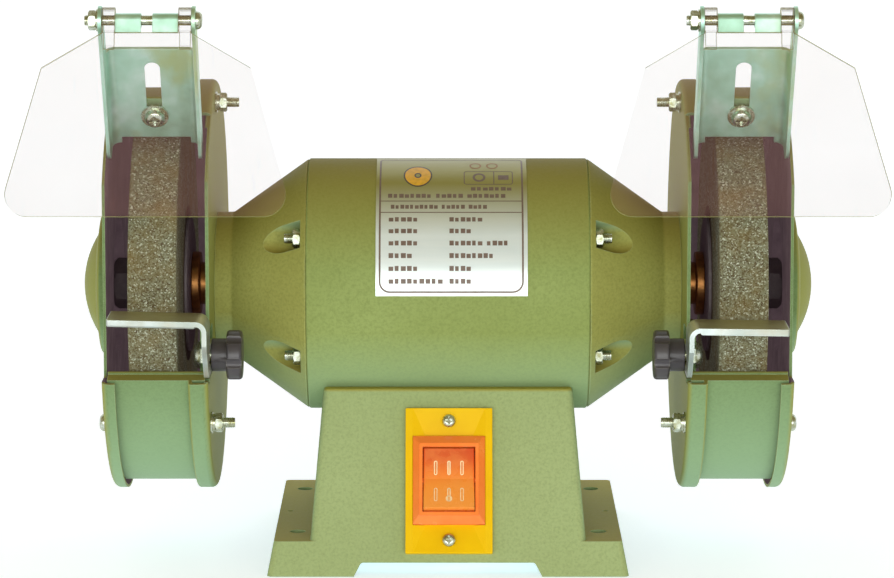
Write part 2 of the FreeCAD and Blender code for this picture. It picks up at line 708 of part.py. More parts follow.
def inner_guard(side):
    lip_x = BELL_END_X + LIP_W
    wall = turned([(BELL_END_X, 12.0), (BELL_END_X, GUARD_R, 2.5), (lip_x, GUARD_R, 1.2), (lip_x, BAND_R, 0.6),
                   (BAND_END_X, BAND_R), (BAND_END_X, BAND_R - SHEET), (lip_x - SHEET, BAND_R - SHEET, 0.6),
                   (lip_x - SHEET, GUARD_R - SHEET, 1.0), (BELL_END_X + SHEET, GUARD_R - SHEET, 1.1),
                   (BELL_END_X + SHEET, 12.0)])
    guard = wall.cut(wedge(OPEN_LOW, OPEN_HIGH, BELL_END_X + SHEET, 150))
    guard = guard.cut(wedge(OPEN_LOW, LIP_HIGH, BELL_END_X - 1, lip_x).cut(rod_x(GUARD_R - SHEET, 90, 150)))
    guard = guard.cut(front_window(BELL_END_X - 1, BELL_END_X + SHEET + 0.01))
    pocket_depth = POCKET_X + SHEET
    shell_room = rod_x(BAND_R - SHEET, 90, 150)
    tray = along_x(pocket_outline(0), BELL_END_X, pocket_depth)
    tray = tray.cut(along_x(pocket_outline(SHEET), BELL_END_X - 1, POCKET_X))
    tray = tray.cut(box(90, 110, -120, -WALL_FRONT, 0, 200)).common(shell_room)
    guard = guard.cut(along_x(pocket_outline(0), BELL_END_X - 1, BELL_END_X + SHEET).common(shell_room))
    guard = guard.fuse(tray)
    lower = box(BELL_END_X + SHEET, 139.4, 77.5, BAND_R, 0, SHEET)
    bead = Part.makeCylinder(1.1, 139.4 - BELL_END_X - SHEET, V(BELL_END_X + SHEET, 77.5, 0.4), X_AXIS)
    guard = guard.fuse(in_radial_frame(lower.fuse(bead), OPEN_LOW))
    tab = box(104.0, 137.0, BAND_R - SHEET, 101.0, -SHEET, 0)
    tab = tab.makeFillet(3.0, edges_where(tab, lambda e: e.BoundBox.ZLength > 1 and e.BoundBox.YMin > 100))
    tab = tab.cut(rod_z(2.6, -5, 5, BRACKET_X, BRACKET_SCREW_R))
    guard = guard.fuse(in_radial_frame(tab, OPEN_HIGH))
    for angle in GUARD_BOLT_ANGLES:
        y, z = polar(GUARD_BOLT_R, angle)
        guard = guard.cut(rod_x(2.15, 90, 150, y, z))
    for i in range(3):
        y, z = polar(24.0, 30 + 120 * i)
        guard = guard.cut(rod_x(2.6, 90, 110, y, z))
    bolt_y, bolt_z = REST_BOLT
    guard = guard.cut(box(90, 110, bolt_y - 3.1, bolt_y + 3.1, bolt_z - 3.1, bolt_z + 3.1))
    return mirrored(guard.removeSplitter(), side)


def guard_cover(side):
    inner_x = COVER_X - COVER_SHEET
    dish = turned([(136.0, GUARD_R - COVER_SHEET), (136.0, GUARD_R), (COVER_X, GUARD_R, 2.6), (COVER_X, 30.6),
                   (147.3, 29.9, 1.6), (148.6, 21.6), (146.6, 19.8), (146.0, 28.6, 0.8), (inner_x, 29.2),
                   (inner_x, GUARD_R - COVER_SHEET, 1.4)])
    cap_r = 39.75
    centre = 155.0 - cap_r
    skin = Part.makeSphere(cap_r, V(centre, 0, AXIS_Z)).cut(Part.makeSphere(cap_r - 1.4, V(centre, 0, AXIS_Z)))
    cap = skin.common(rod_x(21.6, 147.4, 156))
    cover = dish.fuse(cap)
    cover = cover.cut(wedge(OPEN_LOW, LIP_HIGH, 135, inner_x))
    cover = cover.cut(wedge(OPEN_LOW, LIP_HIGH, inner_x - 0.01, 143).cut(rod_x(GUARD_R - 2.2, 130, 150)))
    cover = cover.cut(front_window(130, 143))
    for angle in GUARD_BOLT_ANGLES:
        y, z = polar(GUARD_BOLT_R, angle)
        cover = cover.cut(rod_x(2.15, 130, 150, y, z))
    return mirrored(cover.removeSplitter(), side)


def guard_bolts():
    bolts = []
    for side in (-1, 1):
        for angle in GUARD_BOLT_ANGLES:
            y, z = polar(GUARD_BOLT_R, angle)
            bolt = pan_head_z(3.6, 2.4, 0).fuse(rod_z(2.0, -53.5, 0.1))
            bolts.append(lay_on_x(bolt, side * COVER_X, y, z, side))
    return group(bolts)


def guard_nuts():
    """Flat washer, spring washer and nut on the motor side of each guard bolt."""
    pieces = []
    for side in (-1, 1):
        for angle in GUARD_BOLT_ANGLES:
            y, z = polar(GUARD_BOLT_R, angle)
            for piece in (washer_z(4.4, 2.1, 0, 0.8), washer_z(3.6, 2.1, 0.8, 1.8), nut_z(7.0, 2.0, 1.8, 5.0)):
                pieces.append(lay_on_x(piece, side * BELL_END_X, y, z, -side))
    return group(pieces)


def guard_flange_screws():
    screws = []
    for side in (-1, 1):
        for i in range(3):
            y, z = polar(24.0, 30 + 120 * i)
            screw = pan_head_z(4.2, 2.8, 0).fuse(rod_z(2.1, -5.5, 0.1))
            screws.append(lay_on_x(screw, side * (BELL_END_X + SHEET), y, z, side))
    return group(screws)


# ---------------------------------------------------------------- spark brackets and shields
def spark_bracket(side):
    """U-shaped plate: local y is the radius from the arbor and local z points forward and down."""
    half = BRACKET_W / 2
    t = BRACKET_T
    deep = 15.4
    channel = [(-half, 0, 5.0), (half, 0, 5.0), (half, deep), (half - t, deep), (half - t, t, 3.5),
               (-half + t, t, 3.5), (-half + t, deep), (-half, deep)]
    bracket = along_y(channel, 79.0, 156.0)
    side_view = [(79.0, -1), (79.0, 12.0, 3.0), (82.0, deep, 3.0), (HINGE_RADIUS + 5.7, deep, 5.6),
                 (HINGE_RADIUS + 5.7, HINGE_LIFT - 5.7, 5.6), (139.0, 4.0, 4.0), (134.0, -1)]
    bracket = bracket.common(along_x(side_view, -half, half))
    bracket = bracket.cut(box(-half + t, half - t, 128.0, 160, -1, 20))
    bracket = bracket.cut(box(-half - 1, half + 1, 128.0, 160, -1, 3.0))
    bracket = bracket.cut(box(-14.25, 14.25, 78, 82.0, -1, 3))
    slot = along_z([(-3.2, 88.0, 3.19), (3.2, 88.0, 3.19), (3.2, 121.0, 3.19), (-3.2, 121.0, 3.19)], -1, 3)
    bracket = bracket.cut(slot)
    bracket = bracket.cut(rod_x(2.1, -half - 1, half + 1, HINGE_RADIUS, HINGE_LIFT))
    return in_radial_frame(bracket, OPEN_HIGH, side * BRACKET_X)


def spark_bracket_screws():
    """Screw, washer and nut that clamp each spark bracket to its guard's tab."""
    pieces = []
    for side in (-1, 1):
        screw = pan_head_z(4.2, 3.0, 2.6).fuse(rod_z(2.5, -7.0, 2.8))
        fasteners = (screw, washer_z(5.65, 2.55, BRACKET_T + GAP, 2.6), nut_z(8.0, 2.5, -SHEET - 4.0, -SHEET))
        for piece in fasteners:
            piece = piece.copy()
            piece.translate(V(0, BRACKET_SCREW_R, 0))
            pieces.append(in_radial_frame(piece, OPEN_HIGH, side * BRACKET_X))
    return group(pieces)


def hinge_place(side):
    angle = math.radians(OPEN_HIGH)
    y = -(HINGE_RADIUS * math.cos(angle) + HINGE_LIFT * math.sin(angle))
    z = AXIS_Z + HINGE_RADIUS * math.sin(angle) - HINGE_LIFT * math.cos(angle)
    return V(side * BRACKET_X, y, z)


def shield_bolt(side):
    """Hinge bolt with its head on the right ear, and a washer and nut on the left ear."""
    half = BRACKET_W / 2
    bolt = lay_on_x(pan_head_z(3.65, 2.6, 0).fuse(rod_z(2.0, -half * 2 - 5.5, 0.1)), half, 0, 0)
    washer = lay_on_x(washer_z(4.5, 2.1, 0, 0.8), -half, 0, 0, -1)
    nut = lay_on_x(nut_z(7.0, 2.0, 0.8, 4.0), -half, 0, 0, -1)
    pieces = group([bolt, washer, nut])
    pieces.translate(hinge_place(side))
    return pieces


def in_shield_frame(shape, side):
    """Local y runs up the shield, local z points forward; the hinge is at the local origin."""
    return turn_about_x(shape, 90 - SHIELD_TILT, hinge_place(side))


KNUCKLE = (12.7, 17.8)
PLATE_BACK = 2.5
PLATE_FRONT = PLATE_BACK + SHIELD_T


def eye_shield(side):
    sheet = [(-17.5, -5.6, 0.8), (17.5, -5.6, 0.8), (41.85, -19.9, 1.0), (58.8, -79.6, 9.0),
             (-58.8, -79.6, 9.0), (-41.85, -19.9, 1.0)]
    shield = along_z(sheet, PLATE_BACK, PLATE_FRONT)
    for sign in (-1, 1):
        x0, x1 = sorted((sign * KNUCKLE[0], sign * KNUCKLE[1]))
        shield = shield.fuse(rod_x(5.2, x0, x1, 0, 0))
        shield = shield.fuse(box(x0, x1, -7.0, 0, PLATE_BACK, PLATE_FRONT))
        hook = [(-12.0, PLATE_BACK + 0.5), (-12.0, 0.4, 1.2), (-9.0, -2.4, 2.5), (-3.0, -2.4),
                (-3.0, PLATE_BACK + 0.5)]
        shield = shield.fuse(along_x(hook, x0 + 0.4, x1 - 0.4))
        shield = shield.cut(rod_x(2.0 + GAP, x0 - 1, x1 + 1, 0, 0))
    return in_shield_frame(shield, side)


def shield_sleeves(side):
    """Two rolled metal sleeves on the hinge bolt, each with a tab down to the shield's top edge."""
    pieces = []
    for sign in (-1, 1):
        x0, x1 = sorted((sign * 2.25, sign * (KNUCKLE[0] - 0.1)))
        barrel = rod_x(2.85, x0, x1, 0, 0)
        tab = box(x0, x1, -5.5, 0, 1.75, 2.85)
        pieces.append(in_shield_frame(barrel.fuse(tab).cut(rod_x(2.0 + GAP, x0 - 1, x1 + 1, 0, 0)), side))
    return group(pieces)


# ---------------------------------------------------------------- tool rests
def tool_rest(side):
    x0, x1 = REST_LEG_X
    end = 137.5
    bolt_y, bolt_z = REST_BOLT
    drop, rise = REST_TOP[side]
    top = AXIS_Z - drop
    front, back = -101.0, -77.0
    bend = [(x0, top - 10.0), (x0, top, 4.5), (end, top + rise), (end, top + rise - 2.0), (x1, top - 2.0, 2.5),
            (x1, top - 10.0)]
    angle = along_y(bend, front, back)
    high, low = bolt_z + 5.4, bolt_z - 6.4
    leg = [(back, top - 6.0), (back, high, 3.0), (-54.5, high, 4.0), (-54.5, low, 4.0), (-86.0, low, 6.0),
           (front, bolt_z + 7.5, 5.0), (front, top - 6.0)]
    rest = angle.fuse(along_x(leg, x0, x1))
    lip = [(x1 + 2.5, top - 1.0), (end, top + rise - 1.0), (end, top + rise - 2.8, 0.8),
           (x1 + 2.5, top - 2.8, 0.8)]
    rest = rest.fuse(along_y(lip, front, front + 1.6)).removeSplitter()
    plate_corners = edges_where(rest, lambda e: e.BoundBox.XMin > end - 0.1 and e.BoundBox.ZLength > 1.0
                                and e.BoundBox.YLength < 0.1)
    rest = rest.makeFillet(0.7, plate_corners)
    slot = [(bolt_y - 15.8, bolt_z - 3.2, 3.19), (bolt_y - 15.8, bolt_z + 3.2, 3.19),
            (bolt_y + 7.2, bolt_z + 3.2, 3.19), (bolt_y + 7.2, bolt_z - 3.2, 3.19)]
    rest = rest.cut(along_x(slot, 90, 110))
    return mirrored(rest, side)


def rest_washer(side):
    y, z = REST_BOLT
    ring = turned([(REST_LEG_X[1], 3.0 + GAP), (REST_LEG_X[1], 7.5, 0.3), (POCKET_X - GAP, 7.5, 0.3),
                   (POCKET_X - GAP, 3.0 + GAP)], z, y)
    return mirrored(ring, side)


def rest_carriage_bolts():
    y, z = REST_BOLT
    seat = POCKET_X + SHEET
    dome = turned([(seat, 0), (seat, 6.0), (seat + 2.6, 4.6, 2.4), (seat + 2.6, 0)], z, y)
    neck = box(POCKET_X, seat + 0.1, y - 3.0, y + 3.0, z - 3.0, z + 3.0)
    bolt = dome.fuse(neck).fuse(rod_x(3.0, 88.0, seat, y, z))
    return group([bolt, mirrored(bolt, -1)])


def rest_knob(side):
    """Five-lobed knob on the carriage bolt's threaded end."""
    y, z = REST_BOLT
    hub = turned([(90.7, 0), (90.7, 6.8), (REST_LEG_X[0] - GAP, 6.8, 0.5), (REST_LEG_X[0] - GAP, 0)], z, y)
    head = turned([(84.4, 0), (84.4, 10.2, 1.6), (90.9, 10.2, 1.2), (90.9, 0)], z, y)
    for i in range(6):
        a = math.radians(60 * i + 12)
        head = head.cut(rod_x(2.6, 80, 95, y + 11.6 * math.cos(a), z + 11.6 * math.sin(a)))
    knob = hub.fuse(head).cut(rod_x(3.0 + GAP, 87.4, 100, y, z))
    return mirrored(knob.removeSplitter(), side)


# ---------------------------------------------------------------- rating plate
def rating_plate():
    ring = rod_x(SHELL_R + 0.5, -30.0, 33.0).cut(rod_x(SHELL_R, -40, 40))
    return ring.common(wedge(2.7, 87.6, -31, 34))


# ---------------------------------------------------------------- files
os.makedirs("parts", exist_ok=True)

SINGLE = {
    "base_casting": base_casting,
    "base_bottom_plate": base_bottom_plate,
    "bottom_plate_screws": bottom_plate_screws,
    "motor_mount_screws": motor_mount_screws,
    "switch_bezel": switch_bezel,
    "switch_frame": switch_frame,
    "switch_rocker": switch_rocker,
    "switch_body": switch_body,
    "switch_terminals": switch_terminals,
    "switch_screws": switch_screws,
    "run_capacitor": run_capacitor,
    "capacitor_clip": capacitor_clip,
    "terminal_block": terminal_block,
    "cable_gland": cable_gland,
    "motor_shell": motor_shell,
    "motor_tie_rods": motor_tie_rods,
    "tie_rod_nuts": tie_rod_nuts,
    "stator_core": stator_core,
    "stator_windings": stator_windings,
    "bearing_balls": bearing_balls,
    "bearing_preload_spring": bearing_preload_spring,
    "shaft": shaft,
    "rotor_core": rotor_core,
    "rotor_end_rings": rotor_end_rings,
    "wheel_blotters": wheel_blotters,
    "wheel_inner_flanges": wheel_inner_flanges,
    "wheel_outer_flanges": wheel_outer_flanges,
    "spacer_bushes": spacer_bushes,
    "arbor_nuts": arbor_nuts,
    "guard_bolts": guard_bolts,
    "guard_nuts": guard_nuts,
    "guard_flange_screws": guard_flange_screws,
    "spark_bracket_screws": spark_bracket_screws,
    "rest_carriage_bolts": rest_carriage_bolts,
    "rating_plate": rating_plate,
}
BOTH_SIDES = {
    "end_bell": end_bell,
    "inner_guard": inner_guard,
    "guard_cover": guard_cover,
    "wheel": wheel,
    "spark_bracket": spark_bracket,
    "shield_bolt": shield_bolt,
    "eye_shield": eye_shield,
    "shield_sleeves": shield_sleeves,
    "tool_rest": tool_rest,
    "rest_washer": rest_washer,
    "rest_knob": rest_knob,
}

for node, make in SINGLE.items():
    save(node, make())
save("bearing_outer_rings", group([bearing_ring(14.6, 17.5, side, 3.0) for side in (-1, 1)]))
save("bearing_inner_rings", group([bearing_ring(7.5, 10.4, side, 3.0 + GAP) for side in (-1, 1)]))
for side_name, side_sign in SIDES.items():
    for node, make in BOTH_SIDES.items():
        save(side_name + "_" + node, make(side_sign))
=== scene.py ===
"""Looks for the bench grinder: materials, printed plate, symbols, threads, floor, lights and camera."""
import json
import math

import bmesh
import bpy
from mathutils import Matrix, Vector


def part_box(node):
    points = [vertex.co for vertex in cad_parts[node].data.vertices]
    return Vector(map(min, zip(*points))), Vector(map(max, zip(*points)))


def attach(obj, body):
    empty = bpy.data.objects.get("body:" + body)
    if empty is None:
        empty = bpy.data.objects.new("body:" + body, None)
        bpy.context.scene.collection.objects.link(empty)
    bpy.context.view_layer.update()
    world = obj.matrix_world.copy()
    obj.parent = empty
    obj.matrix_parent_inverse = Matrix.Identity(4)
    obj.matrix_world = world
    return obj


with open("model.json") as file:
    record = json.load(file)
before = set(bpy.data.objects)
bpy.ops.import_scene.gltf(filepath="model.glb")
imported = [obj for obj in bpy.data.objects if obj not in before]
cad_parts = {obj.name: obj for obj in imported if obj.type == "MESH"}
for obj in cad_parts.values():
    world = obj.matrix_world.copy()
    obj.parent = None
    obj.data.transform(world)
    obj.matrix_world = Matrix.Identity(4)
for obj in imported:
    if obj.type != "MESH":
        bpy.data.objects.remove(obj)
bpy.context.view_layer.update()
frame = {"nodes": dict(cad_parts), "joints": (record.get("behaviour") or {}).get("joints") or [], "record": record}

MM = 0.001
NODES = frame["nodes"]
JOINTS = {j["name"]: j for j in frame["joints"]}
AXIS_Z = JOINTS["arbor_spin"]["pos_m"][2]
SIDES = {"left": -1, "right": 1}
TILT = math.radians(14.0)            # of the eye shields, lower edge forward
WALL_LEAN = math.atan(27.0 / 74.1)   # of the base's front wall


# ---------------------------------------------------------------- node graphs
def srgb(r, g, b):
    """Linear RGBA from 0-255 screen values."""
    values = []
    for c in (r, g, b):
        c /= 255
        values.append(c / 12.92 if c <= 0.04045 else ((c + 0.055) / 1.055) ** 2.4)
    return (*values, 1.0)


class Graph:
    """A material's node tree with one Principled shader; each method adds one node and returns its output."""

    def __init__(self, name, **sockets):
        self.material = bpy.data.materials.new(name)
        self.material.use_nodes = True
        self.tree = self.material.node_tree
        self.shader = self.tree.nodes["Principled BSDF"]
        self.set(**sockets)
        coordinates = self.add("ShaderNodeTexCoord")
        self.place = coordinates.outputs["Object"]
        self.normal = coordinates.outputs["Normal"]

    def add(self, kind, **settings):
        node = self.tree.nodes.new(kind)
        for key, value in settings.items():
            setattr(node, key, value)
        return node

    def link(self, source, target):
        if isinstance(source, bpy.types.NodeSocket):
            self.tree.links.new(source, target)
        else:
            target.default_value = source

    def set(self, **sockets):
        """Principled inputs by name, with spaces written as underscores."""
        for key, value in sockets.items():
            self.link(value, self.shader.inputs[key.replace("_", " ")])

    def noise(self, scale, detail=2.0, rough=0.5, stretch=None):
        node = self.add("ShaderNodeTexNoise")
        place = self.place
        if stretch:
            mapping = self.add("ShaderNodeMapping")
            mapping.inputs["Scale"].default_value = stretch
            self.link(place, mapping.inputs["Vector"])
            place = mapping.outputs["Vector"]
        self.link(place, node.inputs["Vector"])
        node.inputs["Scale"].default_value = scale
        node.inputs["Detail"].default_value = detail
        node.inputs["Roughness"].default_value = rough
        return node.outputs["Fac"]

    def cells(self, scale, feature="F1"):
        node = self.add("ShaderNodeTexVoronoi", feature=feature)
        self.link(self.place, node.inputs["Vector"])
        node.inputs["Scale"].default_value = scale
        return node

    def ramp(self, factor, stops):
        """Colour ramp from (position, colour) stops."""
        node = self.add("ShaderNodeValToRGB")
        elements = node.color_ramp.elements
        while len(elements) < len(stops):
            elements.new(0.5)
        for element, (position, colour) in zip(elements, stops):
            element.position = position
            element.color = colour
        self.link(factor, node.inputs["Fac"])
        return node.outputs["Color"]

    def span(self, factor, low, high, start=0.0, end=1.0):
        node = self.add("ShaderNodeMapRange")
        self.link(factor, node.inputs["Value"])
        for key, value in (("From Min", start), ("From Max", end), ("To Min", low), ("To Max", high)):
            node.inputs[key].default_value = value
        return node.outputs["Result"]

    def mix(self, factor, a, b):
        node = self.add("ShaderNodeMix", data_type="RGBA")
        self.link(factor, node.inputs[0])
        self.link(a, node.inputs[6])
        self.link(b, node.inputs[7])
        return node.outputs[2]

    def math(self, operation, a, b=0.0):
        node = self.add("ShaderNodeMath", operation=operation)
        self.link(a, node.inputs[0])
        self.link(b, node.inputs[1])
        return node.outputs[0]

    def facing(self, x, y, z):
        """Cosine between the surface's own normal and a direction in the part's frame."""
        node = self.add("ShaderNodeVectorMath", operation="DOT_PRODUCT")
        self.link(self.normal, node.inputs[0])
        node.inputs[1].default_value = (x, y, z)
        return node.outputs["Value"]

    def axes(self):
        """Distance from the middle plane, and (y, z) measured from the arbor's centre line."""
        node = self.add("ShaderNodeSeparateXYZ")
        self.link(self.place, node.inputs["Vector"])
        from_middle = self.math("ABSOLUTE", node.outputs["X"])
        return from_middle, node.outputs["Y"], self.math("SUBTRACT", node.outputs["Z"], AXIS_Z)

    def edges(self):
        """1 along sharp edges, 0 on flat and gently curved faces."""
        rounded = self.add("ShaderNodeBevel", samples=4)
        rounded.inputs["Radius"].default_value = 0.0007
        bend = self.add("ShaderNodeVectorMath", operation="DOT_PRODUCT")
        self.link(rounded.outputs["Normal"], bend.inputs[0])
        self.link(self.add("ShaderNodeNewGeometry").outputs["Normal"], bend.inputs[1])
        return self.span(bend.outputs["Value"], 1.0, 0.0, 0.78, 0.985)

    def bump(self, height, distance, strength, soften=None):
        """Bump in metres of depth; soften rounds the mesh's sharp edges by that radius."""
        node = self.add("ShaderNodeBump")
        node.inputs["Strength"].default_value = strength
        node.inputs["Distance"].default_value = distance
        self.link(height, node.inputs["Height"])
        if soften:
            bevel = self.add("ShaderNodeBevel", samples=4)
            bevel.inputs["Radius"].default_value = soften
            self.link(bevel.outputs["Normal"], node.inputs["Normal"])
        self.link(node.outputs["Normal"], self.shader.inputs["Normal"])


# ---------------------------------------------------------------- materials
GREEN = (srgb(150, 170, 122), srgb(158, 178, 130))
# The next three are darker, more olive copies of the one green enamel: painted shade.
DEEP = (srgb(109, 132, 86), srgb(117, 141, 95))
OLIVE = (srgb(148, 150, 80), srgb(157, 159, 90))
MIDDLE = (srgb(133, 147, 84), srgb(141, 156, 94))
# Paler, cooler tint for downward faces: painted light from below.
UNDERSIDE_LIGHT = srgb(152, 184, 146)
# The next two colours tint upward faces olive: painted shade.
TOP_SHADE = srgb(138, 126, 56)
EAR_TOP_SHADE = srgb(182, 164, 66)


def hammer_paint(name, tones, inside=None, top=TOP_SHADE, cap=None):
    """Hammer-finish enamel, with a painted highlight along its edges.

    inside(graph) gives a mask of the surfaces that stay bare and dusty, grey partly by painted shade and glowing
    faintly with painted light; top tints the upward faces with painted shade, and cap the faces across the arbor
    with painted shade; the downward faces get a paler painted light from below."""
    g = Graph(name, IOR=1.12, Specular_IOR_Level=0.4)
    broad = g.noise(18, 3)
    fine = g.noise(860, 3, 0.65)
    dimples = g.cells(420, "SMOOTH_F1").outputs["Distance"]
    base = g.ramp(broad, [(0.32, tones[0]), (0.68, tones[1])])
    dark = tuple(c * 0.72 for c in tones[0][:3]) + (1.0,)
    colour = g.mix(g.span(fine, 0.0, 0.6, 0.42, 0.72), base, dark)
    # Faces across the arbor are tinted with cap: painted shade.
    if cap:
        across = g.math("ABSOLUTE", g.facing(1, 0, 0))
        colour = g.mix(g.span(across, 0.0, 0.85, 0.25, 0.7), colour, cap)
    # Upward faces tinted olive: painted shade.
    colour = g.mix(g.span(g.facing(0, 0, 1), 0.0, 0.8, 0.25, 0.95), colour, top)
    # Downward faces paler and cooler: painted light from below.
    colour = g.mix(g.span(g.facing(0, 0, 1), 0.8, 0.0, -0.95, -0.25), colour, UNDERSIDE_LIGHT)
    # Pale edges: painted highlight.
    edge_highlight = g.span(g.edges(), 0.0, 0.6, 0.1, 0.9)
    colour = g.mix(edge_highlight, colour, srgb(176, 196, 156))
    height = g.math("ADD", g.math("MULTIPLY", dimples, 0.7), g.math("MULTIPLY", fine, 0.5))
    rough = g.span(fine, 0.38, 0.56)
    if inside:
        mask = inside(g)
        dust = g.noise(110, 5, 0.6)
        # The inner faces' grey is partly bare metal and partly painted shade; their emission is painted light, a
        # faint glow.
        grey = g.ramp(dust, [(0.3, srgb(88, 72, 78)), (0.75, srgb(108, 90, 96))])
        colour = g.mix(mask, colour, grey)
        g.set(Emission_Color=grey, Emission_Strength=g.math("MULTIPLY", mask, 0.42))
        rough = g.math("ADD", rough, g.math("MULTIPLY", mask, 0.3))
    g.set(Base_Color=colour, Roughness=rough)
    g.bump(height, 0.00018, 0.5, soften=0.0005)
    return g.material


def radial(g, y, z):
    """Distance from the arbor's centre line and the surface's outward tilt from it."""
    radius = g.math("SQRT", g.math("ADD", g.math("MULTIPLY", y, y), g.math("MULTIPLY", z, z)))
    outward_y = g.math("MULTIPLY", g.facing(0, 1, 0), y)
    outward_z = g.math("MULTIPLY", g.facing(0, 0, 1), z)
    outward = g.math("ADD", outward_y, outward_z)
    return radius, g.math("DIVIDE", outward, radius)


def away_from_motor(g):
    """Cosine between the surface's normal and the direction along the arbor away from the motor."""
    node = g.add("ShaderNodeSeparateXYZ")
    g.link(g.place, node.inputs["Vector"])
    return g.math("MULTIPLY", g.facing(1, 0, 0), g.math("SIGN", node.outputs["X"]))


# Where the guards' inner faces begin and end: X from the middle plane, R from the arbor's centre line.
INNER_WALL_X = 0.1027
INNER_WALL_R = 0.085
INNER_BAND_R = 0.080
COVER_WALL_X = 0.139
COVER_WALL_R = 0.0858
COVER_BAND_X = 0.136


def inside_inner_guard(g):
    """Mask of the inner guard's faces towards the wheel."""
    x, y, z = g.axes()
    radius, outward = radial(g, y, z)
    wall = g.math("GREATER_THAN", away_from_motor(g), 0.5)
    wall = g.math("MULTIPLY", wall, g.math("LESS_THAN", x, INNER_WALL_X))
    wall = g.math("MULTIPLY", wall, g.math("LESS_THAN", radius, INNER_WALL_R))
    band = g.math("LESS_THAN", outward, -0.5)
    band = g.math("MULTIPLY", band, g.math("GREATER_THAN", radius, INNER_BAND_R))
    return g.math("MAXIMUM", wall, band)


def inside_cover(g):
    """Mask of the cover's faces towards the wheel."""
    x, y, z = g.axes()
    radius, outward = radial(g, y, z)
    wall = g.math("LESS_THAN", away_from_motor(g), -0.3)
    wall = g.math("MULTIPLY", wall, g.math("LESS_THAN", radius, COVER_WALL_R))
    wall = g.math("MULTIPLY", wall, g.math("GREATER_THAN", x, COVER_WALL_X))
    band = g.math("LESS_THAN", outward, -0.3)
    band = g.math("MULTIPLY", band, g.math("GREATER_THAN", x, COVER_BAND_X))
    return g.math("MAXIMUM", wall, band)


def zinc_sheet(name, tones, patina, spread, top=None):
    """Yellow-green passivated zinc: cloudy, with patches of patina and a painted highlight along its edges."""
    g = Graph(name, Metallic=0.85)
    rolled = g.noise(26, 5, 0.55, stretch=(1, 1, 0.6))
    cloud = g.noise(60, 4, 0.6)
    base = g.ramp(cloud, [(0.30, tones[0]), (0.52, tones[1]), (0.72, tones[2])])
    tint = g.mix(g.span(rolled, 0.0, 0.75, 0.62 - spread, 0.74 - spread), base, patina)
    # Upward faces take the top colour: painted reflection.
    if top:
        tint = g.mix(g.span(g.facing(0, 0, 1), 0.0, 1.0, 0.5, 0.9), tint, top)
    # Bright edges: painted highlight.
    edge_highlight = g.span(g.edges(), 0.0, 0.8, 0.1, 0.9)
    g.set(Base_Color=g.mix(edge_highlight, tint, srgb(216, 232, 226)))
    g.set(Roughness=g.span(g.noise(240, 2), 0.36, 0.5, 0.3, 0.7))
    g.bump(g.noise(700, 1), 0.00002, 0.1, soften=0.0004)
    return g.material


def zinc_screw():
    """Bright screws and bolts, yellowish in places."""
    g = Graph("zinc_screws", Metallic=0.95)
    cloud = g.noise(380, 3, 0.6)
    g.set(Base_Color=g.ramp(cloud, [(0.3, srgb(150, 150, 108)), (0.7, srgb(212, 222, 214))]))
    g.set(Roughness=g.span(cloud, 0.16, 0.36))
    g.bump(g.noise(1500, 2), 0.00003, 0.3, soften=0.00025)
    return g.material


def grinding_stone():
    """Bonded grit: a random tone per grain, dark pores and rusty patches."""
    g = Graph("grinding_stone", Roughness=0.92, IOR=1.3)
    grit = g.cells(1900)
    grain = g.add("ShaderNodeSeparateColor")
    g.link(grit.outputs["Color"], grain.inputs["Color"])
    stops = [(0.0, srgb(70, 56, 42)), (0.22, srgb(92, 86, 62)), (0.55, srgb(108, 108, 84)),
             (0.84, srgb(122, 124, 104)), (0.93, srgb(150, 154, 134)), (1.0, srgb(182, 188, 172))]
    grains = g.ramp(grain.outputs["Red"], stops)
    patches = g.noise(65, 4, 0.6)
    stained = g.mix(g.span(patches, 0.0, 0.55, 0.42, 0.70), grains, srgb(112, 94, 52))
    pores = g.cells(950).outputs["Distance"]
    colour = g.mix(g.span(pores, 0.5, 0.0, 0.0, 0.28), stained, srgb(62, 52, 42))
    # The faint emission is painted light: a glow standing in for bounce light.
    g.set(Base_Color=colour, Emission_Color=colour, Emission_Strength=0.16)
    height = g.math("ADD", grit.outputs["Distance"], g.noise(1300, 3, 0.7))
    g.bump(height, 0.00025, 0.4, soften=0.0005)
    return g.material


def clear_plastic():
    """Clear sheet whose sawn edges and moulded knuckles are frosted and yellowish."""
    g = Graph("clear_polycarbonate", IOR=1.3)
    across = g.math("ABSOLUTE", g.facing(0, -math.cos(TILT), math.sin(TILT)))
    edge = g.span(across, 1.0, 0.0, 0.35, 0.75)
    haze = g.noise(28, 4, 0.6)
    scuffs = g.span(g.noise(260, 3, 0.7, stretch=(1, 0.15, 0.15)), 0.0, 0.05, 0.58, 0.72)
    glass = g.ramp(haze, [(0.3, srgb(152, 108, 102)), (0.7, srgb(160, 118, 112))])
    g.set(Base_Color=g.mix(edge, glass, srgb(158, 156, 96)))
    clear = g.math("ADD", g.span(haze, 0.075, 0.095, 0.3, 0.7), g.math("MULTIPLY", scuffs, 0.4))
    rim = g.add("ShaderNodeLayerWeight")
    rim.inputs["Blend"].default_value = 0.25
    clear = g.math("ADD", clear, g.math("MULTIPLY", rim.outputs["Fresnel"], 0.12))
    g.set(Alpha=g.math("MAXIMUM", clear, g.math("MULTIPLY", edge, 0.75)))
    g.set(Roughness=g.span(edge, 0.06, 0.45))
    g.bump(g.noise(14, 2), 0.0001, 0.05)
    return g.material


